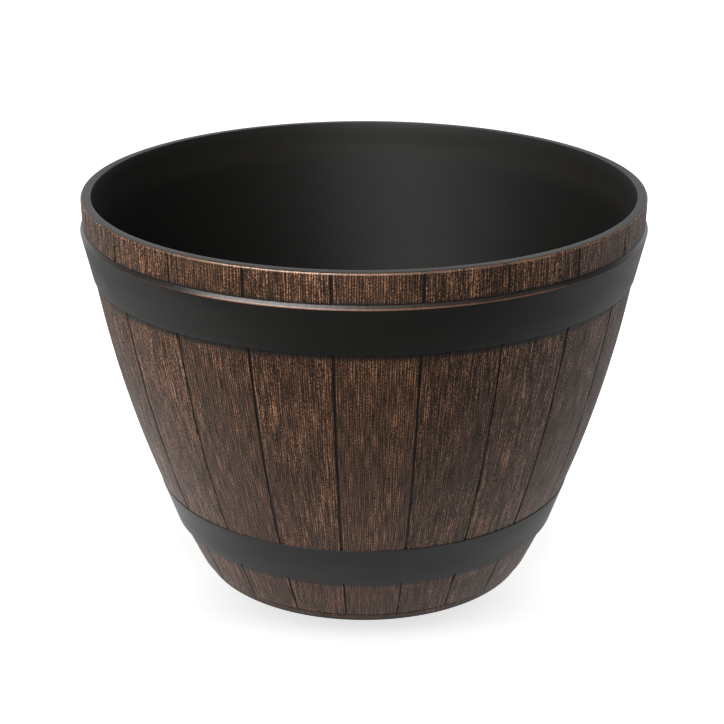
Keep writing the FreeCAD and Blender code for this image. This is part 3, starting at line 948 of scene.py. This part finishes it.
@dataclass
class Shell:
    """The moulded half barrel: staves, collar, rim, inside wall, floor and foot in one piece."""

    paint: Material
    resin: Material
    stave_line: StaveLine = StaveLine()
    node: str = "barrel_shell"
    crease: float = 42.0
    staves: int = 22
    first_seam: float = math.radians(-90.0 - 5.7)
    seam_half_angle: float = math.radians(0.25)
    seam_depth: float = 1.4 * MM
    seam_profile: tuple[Place, ...] = ((0.0, 1.0), (0.45, 0.96), (0.85, 0.55), (1.15, 0.14), (1.7, 0.0))
    ridge_height: float = 0.5 * MM
    ridge_width: float = 3.6 * MM
    ridge_length: float = 90.0 * MM
    grain_seed: int = 4
    body_columns: int = 50
    inner_columns: int = 8
    low_rows: int = 6
    high_rows: int = 22
    inner_rows: int = 18
    fine_margin: int = 2
    collar_height: float = 29.0 * MM
    collar_draft: float = 0.5 * MM
    collar_shadow: float = 3.0 * MM
    rim_width: float = 10.0 * MM
    lip_round: float = 2.4 * MM
    lip_shadow: float = 2.0 * MM
    lip_paint: float = 0.66
    inner_round: float = 0.9 * MM
    wall: float = 8.0 * MM
    upper_seat: Place = (325.7 * MM, 376.0 * MM)
    lower_seat: Place = (58.0 * MM, 101.5 * MM)
    seat_depth: float = 1.6 * MM
    # Painted shade under each hoop: its height, and its darkness at shares of that height.
    painted_shade_height: float = 8.0 * MM
    painted_shade_steps: tuple[Place, ...] = ((0.3, 0.46), (0.6, 0.66), (1.0, 0.95))
    top_wear: float = 0.12
    painted_bounce_light: float = 0.18
    mouth_painted_light: float = 0.3
    foot_radius: float = 171.7 * MM
    foot_top: Place = (175.2 * MM, 8.0 * MM)
    foot_ring_width: float = 14.0 * MM
    foot_round: float = 1.2 * MM
    foot_lean: float = 0.5 * MM
    strip_edge: float = 0.9 * MM
    strip_round: float = 1.0 * MM
    groove_depth: float = 2.2 * MM
    groove_floor: float = 0.2 * MM
    groove_roof: float = 0.3 * MM
    heel_round: float = 1.0 * MM
    recess: float = 5.0 * MM
    recess_round: float = 1.5 * MM
    ring_round: float = 0.8 * MM
    floor_top: float = 13.0 * MM
    cove: float = 14.0 * MM
    cove_rise: float = 0.96
    cove_corner: Place = (2.5 * MM, 2.0 * MM)
    plate_radius: float = 135.0 * MM
    drain_radius: float = 9.0 * MM
    drain_seat_radius: float = 14.5 * MM
    drain_seat_depth: float = 3.0 * MM
    drain_edge: float = 0.4 * MM
    drain_offset: float = 70.0 * MM
    drain_steps: int = 48

    def build(self) -> Piece:
        """Make the shell.

        Returns:
            The finished piece.
        """
        wedge = bpy.data.objects.new("stave_wedge", self.wedge_mesh())
        bpy.context.scene.collection.objects.link(wedge)
        ring = self.set_round(wedge)
        shape = bmesh.new()
        shape.from_mesh(ring)
        materials = list(ring.materials)
        bpy.data.meshes.remove(ring)
        self.add_floor(shape, materials.index(self.resin))
        piece = finish_mesh("moulded_shell", shape, self.crease)
        for material in materials:
            piece.data.materials.append(material)
        return settle(piece, "planter", "wood_effect_resin", self.node)

    def section(self) -> Section:
        """Draw the section from the underside, up the staves, over the rim and down to the floor.

        Returns:
            The section.
        """
        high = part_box(self.node)[1]
        start = self.stave_line.heel[1] + self.heel_round
        section = Section((self.plate_radius, self.recess))
        self.draw_foot(section, start)
        self.climb(section, start, self.lower_seat[0], self.low_rows)
        self.sink(section, self.lower_seat)
        self.climb(section, self.lower_seat[1], self.upper_seat[0], self.high_rows)
        self.sink(section, self.upper_seat)
        self.draw_rim(section, high.x, high.z)
        self.draw_inside(section, high.z - self.collar_height)
        return section

    def draw_foot(self, section: Section, start: float) -> None:
        """Run round the foot ring, up its strip and through the groove to the heel of the staves.

        Args:
            section: The section so far.
            start: Height at which the staves begin.
        """
        outer, inner = self.foot_radius, self.foot_radius - self.foot_ring_width
        strip, strip_top = self.foot_top
        heel, heel_height = self.stave_line.heel
        groove = strip - self.groove_depth
        section.line((inner - self.recess_round, self.recess))
        section.curve((inner, self.recess), (inner, self.recess - self.recess_round))
        section.line((inner, self.ring_round))
        section.curve((inner, 0.0), (inner + self.ring_round, 0.0))
        section.line((outer - self.foot_round, 0.0))
        section.curve((outer, 0.0), (outer + self.foot_lean, self.foot_round), steps=4, wear=0.1)
        section.line((strip - self.foot_lean, strip_top - self.strip_edge), steps=3, painted=True, wear=0.1)
        section.curve(self.foot_top, (strip - self.strip_round, strip_top), painted=True, wear=0.3)
        # Painted shade: the groove under the heel is darkened fully, fading out round the heel.
        for height in (strip_top + self.groove_floor, heel_height - self.groove_roof):
            section.line((groove, height), painted=True, shade=1.0)
        section.line((heel - self.heel_round, heel_height), painted=True, groove=0.6, shade=0.8)
        section.curve(self.stave_line.heel, self.stave_line.spot(start), steps=4, **STAVE_MARKS, wear=0.1)

    def climb(self, section: Section, low: float, high: float, steps: int) -> None:
        """Run up the bowed stave line to a hoop, with painted shade on the wood just under it.

        Args:
            section: The section so far.
            low: Height of the start.
            high: Height of the hoop's lower edge.
            steps: Number of steps up to the painted shade.
        """
        reach = high - self.painted_shade_height
        for step in range(steps + 1):
            share = step / steps
            spot = self.stave_line.spot(low + (reach - low) * share)
            relief = 0.0 if step in (0, steps) else 1.0
            # Copper load rises towards the hoop above as wear, and is raised at the bottom of each run as
            # painted light from the floor's bounce.
            wear = self.painted_bounce_light * (1 - share) ** 2 + self.top_wear * share ** 2
            section.line(spot, **STAVE_MARKS, relief=relief, wear=wear)
        # Painted shade: the wood darkens towards the hoop's lower edge, where the hoop shades it.
        for share, shade in self.painted_shade_steps:
            section.line(self.stave_line.spot(reach + self.painted_shade_height * share), **STAVE_MARKS, shade=shade)

    def sink(self, section: Section, seat: Place) -> None:
        """Step into a hoop's seat and run up its back.

        Args:
            section: The section so far.
            seat: Lower and upper height of the seat.
        """
        for height in seat:
            radius = self.stave_line.chord_radius(height, *seat, -self.seat_depth)
            section.line((radius, height), painted=True)

    def draw_rim(self, section: Section, rim: float, top: float) -> None:
        """Run up the collar and over the rim to the mouth, with paint on the outer part of the lip.

        Args:
            section: The section so far.
            rim: Outer radius of the rim.
            top: Height of the rim.
        """
        collar, base = rim - self.collar_draft, top - self.collar_height
        lip, reach = self.lip_round, self.lip_paint
        # Painted shade: the collar darkens at its base over the upper hoop's ledge, and in a line just under
        # the lip.
        section.line((collar, base), **STAVE_MARKS, shade=0.7)
        section.line((collar, base + self.collar_shadow), **STAVE_MARKS, shade=0.25)
        section.line((rim, top - lip - self.lip_shadow), steps=6, **STAVE_MARKS, relief=1.0)
        section.line((rim, top - lip), **STAVE_MARKS, shade=0.4)
        middle = (rim - lip * reach ** 2, top - lip * (1 - reach) ** 2)
        section.curve((rim, top - lip * (1 - reach)), middle, steps=5, painted=True, wear=0.5)
        section.curve((rim - lip * reach, top), (rim - lip, top))
        inner = rim - self.rim_width
        section.line((inner + self.inner_round, top), steps=2)
        section.curve((inner, top), (inner, top - self.inner_round), wear=self.mouth_painted_light)

    def draw_inside(self, section: Section, base: float) -> None:
        """Run down the inside wall and round the cove to the floor.

        Args:
            section: The section so far.
            base: Height of the collar's lower edge.
        """
        section.line(self.stave_line.spot(base, self.wall), steps=3, wear=self.mouth_painted_light)
        foot = self.floor_top + self.cove * self.cove_rise
        for step in range(1, self.inner_rows + 1):
            height = base + (foot - base) * step / self.inner_rows
            section.line(self.stave_line.spot(height, self.wall))
        wall = self.stave_line.radius(self.floor_top, self.wall)
        corner = (wall - self.cove_corner[0], self.floor_top + self.cove_corner[1])
        section.curve(corner, (wall - self.cove, self.floor_top), steps=5, wear=0.5)
        section.line((self.plate_radius, self.floor_top), wear=1.0)

    def columns(self) -> list[Place]:
        """Set out the corners across one stave.

        Returns:
            Angles from the middle of a seam to the middle of the next, each with the seam's share of depth.
        """
        shoulder = [(angle * self.seam_half_angle, depth) for angle, depth in self.seam_profile]
        pitch = FULL_TURN / self.staves
        first, last = shoulder[-1][0], pitch - shoulder[-1][0]
        steps = self.body_columns
        body = [(first + (last - first) * step / steps, 0.0) for step in range(1, steps)]
        return shoulder + body + [(pitch - angle, depth) for angle, depth in reversed(shoulder)]

    def wedge_mesh(self) -> bpy.types.Mesh:
        """Make one stave's share of the shell, from the middle of a seam to the middle of the next.

        Returns:
            The wedge, with its marks and the grain map.
        """
        section = self.section()
        lengths = section.lengths()
        pitch = FULL_TURN / self.staves
        shape = bmesh.new()
        for mark in (Mark.WEAR, Mark.SEAM, Mark.RELIEF):
            shape.verts.layers.float.new(mark.value)
        grain = shape.loops.layers.uv.new(GRAIN_MAP)
        painted = shape.faces.layers.bool.new(Mark.PAINTED.value)
        rows = self.add_rows(shape, section.stations)
        for number, (lower, upper) in enumerate(zip(rows, rows[1:])):
            before, after = section.stations[number:number + 2]
            above = {corner for _, corner in upper}
            for face in self.join_rows(shape, lower, upper):
                face[painted] = before.painted and after.painted
                for loop in face.loops:
                    angle = math.atan2(loop.vert.co.y, loop.vert.co.x)
                    length = lengths[number + 1 if loop.vert in above else number]
                    loop[grain].uv = (angle / pitch, length / (STAVE_PITCH_MM * MM))
        mesh = bpy.data.meshes.new("stave_wedge")
        shape.to_mesh(mesh)
        shape.free()
        return mesh

    def add_rows(self, shape: Shape, stations: list[Station]) -> list[Row]:
        """Add the corners of the wedge, with fine columns on the paint and near it.

        Args:
            shape: The mesh so far, which has its marks.
            stations: Stations of the section.

        Returns:
            A row for each station, of angles and corners.
        """
        wear, seam, relief = (
            shape.verts.layers.float[mark.value] for mark in (Mark.WEAR, Mark.SEAM, Mark.RELIEF))
        pitch = FULL_TURN / self.staves
        fine = self.columns()
        coarse = [(pitch * step / self.inner_columns, 0.0) for step in range(self.inner_columns + 1)]
        painted = [number for number, station in enumerate(stations) if station.painted]
        near_paint = range(painted[0] - self.fine_margin, painted[-1] + self.fine_margin + 1)
        rows = []
        for number, station in enumerate(stations):
            row = []
            for angle, depth in fine if number in near_paint else coarse:
                radius = station.radius - depth * station.groove * self.seam_depth
                corner = shape.verts.new((radius * math.cos(angle), radius * math.sin(angle), station.height))
                corner[wear] = station.wear
                # The seam mark holds the seam's depth or the station's painted shade, whichever is darker.
                corner[seam] = max(station.shade, depth * station.groove)
                corner[relief] = 0.0 if depth > 0 else station.relief
                row.append((angle, corner))
            rows.append(row)
        return rows

    def join_rows(self, shape: Shape, lower: Row, upper: Row) -> list[Face]:
        """Fill the band between two rows, which may have different columns.

        Args:
            shape: The mesh so far.
            lower: Angles and corners of the earlier row.
            upper: Angles and corners of the later row.

        Returns:
            The new faces.
        """
        faces = []
        here, there = 0, 0
        same = len(lower) == len(upper)
        while here < len(lower) - 1 or there < len(upper) - 1:
            if same:
                corners = [lower[here], lower[here + 1], upper[there + 1], upper[there]]
                here, there = here + 1, there + 1
            elif there == len(upper) - 1 or (
                    here < len(lower) - 1 and lower[here + 1][0] <= upper[there + 1][0] + SAME_ANGLE):
                corners = [lower[here], lower[here + 1], upper[there]]
                here += 1
            else:
                corners = [lower[here], upper[there + 1], upper[there]]
                there += 1
            faces.append(shape.faces.new([corner for _, corner in corners]))
        return faces

    def set_round(self, wedge: Piece) -> bpy.types.Mesh:
        """Set the wedge round the axis.

        Args:
            wedge: Object that holds the wedge, which is used up.

        Returns:
            The ring as a plain mesh.
        """
        tree = StaveRingTree().build()
        modifier = wedge.modifiers.new("stave_ring", "NODES")
        modifier.node_group = tree
        sizes = {
            "Staves": self.staves, "First seam": self.first_seam, "Ridge height": self.ridge_height,
            "Ridge width": self.ridge_width, "Ridge length": self.ridge_length, "Seed": self.grain_seed,
            "Paint": self.paint, "Resin": self.resin}
        for item in tree.interface.items_tree:
            if item.in_out == "INPUT" and item.name in sizes:
                modifier[item.identifier] = sizes[item.name]
        graph = bpy.context.evaluated_depsgraph_get()
        ring = bpy.data.meshes.new_from_object(
            wedge.evaluated_get(graph), preserve_all_data_layers=True, depsgraph=graph)
        wedge.modifiers.remove(modifier)
        used = wedge.data
        bpy.data.objects.remove(wedge)
        bpy.data.meshes.remove(used)
        return ring

    def add_floor(self, shape: Shape, material: int) -> None:
        """Close the middle of the floor, with its four drain holes and their seats.

        Args:
            shape: The ring, which the floor is welded to later.
            material: Number of the bare resin's slot.
        """
        before = set(shape.faces)
        rim_steps = self.staves * self.inner_columns
        plate = (
            Station(self.plate_radius, self.floor_top, wear=1.0),
            Station(self.plate_radius, self.recess))
        dusty, clean = ([add_circle(shape, edge, rim_steps, start=self.first_seam)] for edge in plate)
        seat = self.floor_top - self.drain_seat_depth
        drain = (
            Station(self.drain_seat_radius + self.drain_edge, self.floor_top, wear=1.0),
            Station(self.drain_seat_radius, self.floor_top - self.drain_edge, wear=1.0),
            Station(self.drain_seat_radius, seat, wear=1.0),
            Station(self.drain_radius + self.drain_edge, seat, wear=1.0),
            Station(self.drain_radius, seat - self.drain_edge, wear=1.0),
            Station(self.drain_radius, self.recess))
        for x, y in ((1, 1), (-1, 1), (-1, -1), (1, -1)):
            centre = (x * self.drain_offset, y * self.drain_offset)
            loops = [add_circle(shape, station, self.drain_steps, centre) for station in drain]
            dusty.append(loops[0])
            clean.append(loops[-1])
            for upper, lower in zip(loops, loops[1:]):
                add_band(shape, upper, lower)
        for loops in (dusty, clean):
            edges = [
                shape.edges.get(pair) or shape.edges.new(pair)
                for loop in loops for pair in zip(loop, loop[1:] + loop[:1])]
            bmesh.ops.triangle_fill(shape, use_beauty=True, edges=edges)
        for face in shape.faces:
            if face not in before:
                face.material_index = material


@dataclass
class Hoop:
    """A tapered resin band in its seat round the staves."""

    node: str
    finish: Material
    top_stand: float
    bottom_stand: float
    ledge: float
    ledge_wear: float
    stave_line: StaveLine = StaveLine()
    crease: float = 50.0
    back_depth: float = 1.3 * MM
    edge: float = 0.5 * MM
    edge_inset: float = 0.5 * MM
    ledge_round: float = 0.8 * MM
    most_round: float = 0.4
    tip_run: float = 0.5
    bevel_wear: float = 0.2
    tip_wear: float = 0.1
    face_rows: int = 8
    steps: int = 352

    def build(self) -> Piece:
        """Make the hoop.

        Returns:
            The finished piece.
        """
        shape = turn_section(self.section(), self.steps, closed=True)
        piece = finish_mesh(self.node + "_band", shape, self.crease)
        piece.data.materials.append(self.finish)
        return settle(piece, "planter", "black_hoop_resin", self.node)

    def section(self) -> Section:
        """Draw the closed section, from the lower back edge round the face to the upper back edge.

        Returns:
            The section.
        """
        low, high = (corner.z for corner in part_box(self.node))
        back_low, back_high = (
            self.stave_line.chord_radius(height, low, high, -self.back_depth) for height in (low, high))
        face_low = (self.stave_line.radius(low) + self.bottom_stand, low)
        face_high = (self.stave_line.radius(high) + self.top_stand, high)
        slope = (face_high[0] - face_low[0]) / (high - low)
        rise = math.hypot(1.0, slope)
        edge_up = (face_low[0] + self.edge * slope / rise, low + self.edge / rise)
        ledge_down = (face_high[0] - self.ledge * slope / rise, high - self.ledge / rise)
        below = (ledge_down[0] - self.ledge_round * slope, ledge_down[1] - self.ledge_round)
        tip = (face_high[0] - self.ledge, high)
        share = min(self.most_round, self.ledge_round / math.dist(tip, ledge_down))
        bevel_low = tuple(a + (b - a) * share for a, b in zip(ledge_down, tip))
        bevel_high = tuple(b + (a - b) * share for a, b in zip(ledge_down, tip))
        tip_end = (tip[0] - self.ledge_round * self.tip_run, high)
        section = Section((back_low, low)).line((face_low[0] - self.edge_inset, low))
        section.curve(face_low, edge_up, steps=6)
        section.line(below, self.face_rows)
        section.curve(ledge_down, bevel_low, steps=4, wear=self.ledge_wear)
        section.line(bevel_high, steps=4, wear=self.ledge_wear * self.bevel_wear)
        section.curve(tip, tip_end, wear=self.ledge_wear * self.tip_wear)
        return section.line((back_high, high))


@dataclass
class DrainPlug:
    """A rubber stopper with a flange, a ringed stem and a pull tab."""

    node: str
    body: str
    rubber: Material
    stem_radius: float = 8.7 * MM
    stem_length: float = 7.0 * MM
    stem_round: float = 1.2 * MM
    ring_places: Place = (2.6 * MM, 4.8 * MM)
    ring_half: float = 0.6 * MM
    ring_depth: float = 0.8 * MM
    flange_radius: float = 14.0 * MM
    flange_thickness: float = 3.0 * MM
    flange_edge: float = 0.4 * MM
    flange_round: float = 0.9 * MM
    flange_border: float = 2.6 * MM
    tab_width: float = 12.0 * MM
    tab_thickness: float = 3.0 * MM
    tab_corner: float = 4.0 * MM
    tab_corner_steps: int = 6
    tab_root: float = 1.2 * MM
    tab_edge: float = 0.7 * MM
    steps: int = 64

    def build(self) -> Piece:
        """Make the plug.

        Returns:
            The finished piece.
        """
        low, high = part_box(self.node)
        middle = (low + high) / 2
        shape = turn_section(self.stopper(low.z), self.steps, closed=False)
        bmesh.ops.remove_doubles(shape, verts=shape.verts, dist=WELD)
        self.add_tab(shape, low.z + self.stem_length + self.flange_thickness, high.z)
        turn = Matrix.Rotation(math.atan2(middle.y, middle.x), 4, "Z")
        shape.transform(Matrix.Translation((middle.x, middle.y, 0.0)) @ turn)
        piece = finish_mesh(self.node + "_stopper", shape)
        piece.data.materials.append(self.rubber)
        return settle(piece, self.body, "plug_rubber", self.node)

    def stopper(self, low: float) -> Section:
        """Draw the section of the stem and flange from the tip up.

        Args:
            low: Height of the tip.

        Returns:
            The section.
        """
        seat = low + self.stem_length
        top = seat + self.flange_thickness
        stem, flange = self.stem_radius, self.flange_radius
        section = Section((0.0, low)).line((stem - self.stem_round, low), steps=2)
        section.curve((stem, low), (stem, low + self.stem_round), steps=4)
        for ring in self.ring_places:
            section.line((stem, low + ring - self.ring_half))
            section.curve((stem - self.ring_depth, low + ring), (stem, low + ring + self.ring_half), steps=4)
        section.line((stem, seat)).line((flange - self.flange_edge, seat))
        section.curve((flange, seat), (flange, seat + self.flange_edge))
        section.line((flange, top - self.flange_round))
        section.curve((flange, top), (flange - self.flange_round, top), steps=4)
        return section.line((flange - self.flange_border, top)).line((0.0, top), steps=3)

    def add_tab(self, shape: Shape, root: float, crown: float) -> None:
        """Add the upright tab, with round shoulders and softened edges.

        Args:
            shape: The stopper so far.
            root: Height of the flange's top.
            crown: Height of the tab's top.
        """
        half, corner, thick = self.tab_width / 2, self.tab_corner, self.tab_thickness / 2
        outline = [(-half, root - self.tab_root), (half, root - self.tab_root)]
        for quarter, middle in enumerate((half - corner, corner - half)):
            for step in range(self.tab_corner_steps + 1):
                angle = math.pi / 2 * (quarter + step / self.tab_corner_steps)
                x, z = middle + corner * math.cos(angle), crown - corner + corner * math.sin(angle)
                outline.append((x, z))
        front, back = ([shape.verts.new((x, y, z)) for x, z in outline] for y in (-thick, thick))
        plates = [shape.faces.new(front), shape.faces.new(list(reversed(back)))]
        add_band(shape, back, front)
        edges = [edge for plate in plates for edge in plate.edges]
        bmesh.ops.bevel(shape, geom=edges, offset=self.tab_edge, segments=3, profile=0.5, affect="EDGES")


def point_at(thing: Piece, place: Point, aim: Point) -> None:
    """Put a lamp or a camera into the scene, facing a point.

    Args:
        thing: The lamp or camera.
        place: Where it stands.
        aim: Point that it faces.
    """
    thing.location = place
    thing.rotation_euler = (Vector(aim) - Vector(place)).to_track_quat("-Z", "Y").to_euler()
    bpy.context.scene.collection.objects.link(thing)


@dataclass(frozen=True)
class SoftBox:
    """A soft lamp of the stage, with its power in watts."""

    name: str
    place: Point
    aim: Point
    size: Place
    power: float
    lights_floor: bool = False
    mirrored: bool = False

    def hang(self, floor: Piece) -> None:
        """Add the lamp to the scene.

        Args:
            floor: Floor that the lamp is screened from unless it lights it.
        """
        light = bpy.data.lights.new(self.name, "AREA")
        light.shape = "RECTANGLE"
        light.size, light.size_y = self.size
        light.energy = self.power
        lamp = bpy.data.objects.new(self.name, light)
        lamp.visible_glossy = self.mirrored
        point_at(lamp, self.place, self.aim)
        if not self.lights_floor:
            screened = bpy.data.collections.new(self.name + "_screened")
            screened.objects.link(floor)
            screened.collection_objects[0].light_linking.link_state = "EXCLUDE"
            lamp.light_linking.receiver_collection = screened


@dataclass(frozen=True)
class Studio:
    """Pale floor, soft light and the camera at the photograph's angle."""

    camera_place: Point = (0.0, -1.7273, 0.8799)
    aim: Point = (0.0, 0.0, 0.2024)
    lens: float = 87.26
    sensor: float = 36.0
    shift: Place = (-0.0028, 0.0130)
    ambient: float = 0.24
    panel_way: Point = (-0.139, -0.988, 0.07)
    panel: Ramp = Ramp(0.84, 0.98, 0.0, 2.6)
    ceiling: Ramp = Ramp(0.3, 0.8, 1.0, 0.05)
    walls: Ramp = Ramp(0.4, 0.9, 0.2, 1.4)
    floor_size: float = 40.0
    key_box: SoftBox = SoftBox(
        "key_box", (-1.13, -1.47, 1.92), (0.0, 0.0, 0.25), (2.0, 0.9), 62.0, mirrored=True)
    side_box: SoftBox = SoftBox("side_box", (-2.2, -0.6, 0.9), (0.0, 0.0, 0.2), (1.0, 1.0), 8.0)
    top_box: SoftBox = SoftBox(
        "top_box", (0.0, -0.75, 2.7), (0.0, -0.25, 0.0), (1.6, 0.6), 34.0, lights_floor=True)

    def build(self) -> None:
        """Make the stage."""
        self.make_world()
        floor = self.make_floor()
        for box in (self.key_box, self.side_box, self.top_box):
            box.hang(floor)
        self.make_camera()
        bpy.context.scene.view_settings.view_transform = "Standard"

    def make_world(self) -> None:
        """Make white surroundings under a dark ceiling, with a round panel in front that only gloss shows."""
        world = bpy.data.worlds.new("studio")
        world.use_nodes = True
        graph = Graph(world.node_tree)
        seen, glossy = graph.rays()
        way = graph.add("ShaderNodeTexCoord").outputs["Generated"]
        _, depth, height = graph.split(way)
        facing = graph.add("ShaderNodeVectorMath", {0: way, 1: self.panel_way}, operation="DOT_PRODUCT")
        panel = graph.ease(facing.outputs["Value"], self.panel)
        walls, ceiling = graph.ease(depth, self.walls), graph.ease(height, self.ceiling)
        mirrored = graph.math("MULTIPLY_ADD", walls, ceiling, panel)
        shown = graph.math("MULTIPLY_ADD", glossy, mirrored, seen)
        other = graph.math("SUBTRACT", 1.0, graph.math("MAXIMUM", seen, glossy))
        strength = graph.math("MULTIPLY_ADD", other, self.ambient, shown)
        background = graph.out("ShaderNodeBackground", {"Color": WHITE, "Strength": strength})
        graph.add("ShaderNodeOutputWorld", {"Surface": background})
        bpy.context.scene.world = world

    def make_floor(self) -> Piece:
        """Lay the wide pale floor.

        Returns:
            The floor.
        """
        shape = bmesh.new()
        half = self.floor_size / 2
        places = ((-half, -half), (half, -half), (half, half), (-half, half))
        shape.faces.new([shape.verts.new((x, y, 0.0)) for x, y in places])
        floor = finish_mesh("floor", shape)
        floor.data.materials.append(PaleFloor().build())
        return floor

    def make_camera(self) -> None:
        """Set the camera at the photograph's angle."""
        data = bpy.data.cameras.new("photo_view")
        data.lens = self.lens
        data.sensor_width = self.sensor
        data.shift_x, data.shift_y = self.shift
        camera = bpy.data.objects.new("photo_view", data)
        point_at(camera, self.camera_place, self.aim)
        bpy.context.scene.camera = camera


def main() -> None:
    """Build the planter piece by piece, then the stage."""
    logging.basicConfig(level=logging.INFO, format="%(name)s: %(message)s")
    resin = BlackResin().build()
    upper_resin = HoopResin("upper_hoop_resin").build()
    # Painted light: the lower hoop's resin is a lighter copy of the upper hoop's, standing in for the light
    # it gets from the pale floor.
    floor_lit_lower_resin = HoopResin("floor_lit_lower_hoop_resin", body=tint(30, 29, 28), scuffed=tint(38, 37, 36)).build()
    rubber = PlugRubber().build()
    Shell(StavePaint().build(), resin).build()
    upper = {"top_stand": 5.9 * MM, "bottom_stand": 1.6 * MM, "ledge": 4.0 * MM, "ledge_wear": 1.0}
    lower = {"top_stand": 0.8 * MM, "bottom_stand": 2.9 * MM, "ledge": 0.6 * MM, "ledge_wear": 0.0}
    Hoop("upper_hoop", upper_resin, **upper).build()
    Hoop("lower_hoop", floor_lit_lower_resin, **lower).build()
    for corner in ("back_right", "back_left", "front_left", "front_right"):
        DrainPlug("drain_plug_" + corner, "plug_" + corner, rubber).build()
    Studio().build()


if __name__ == "__main__":
    main()
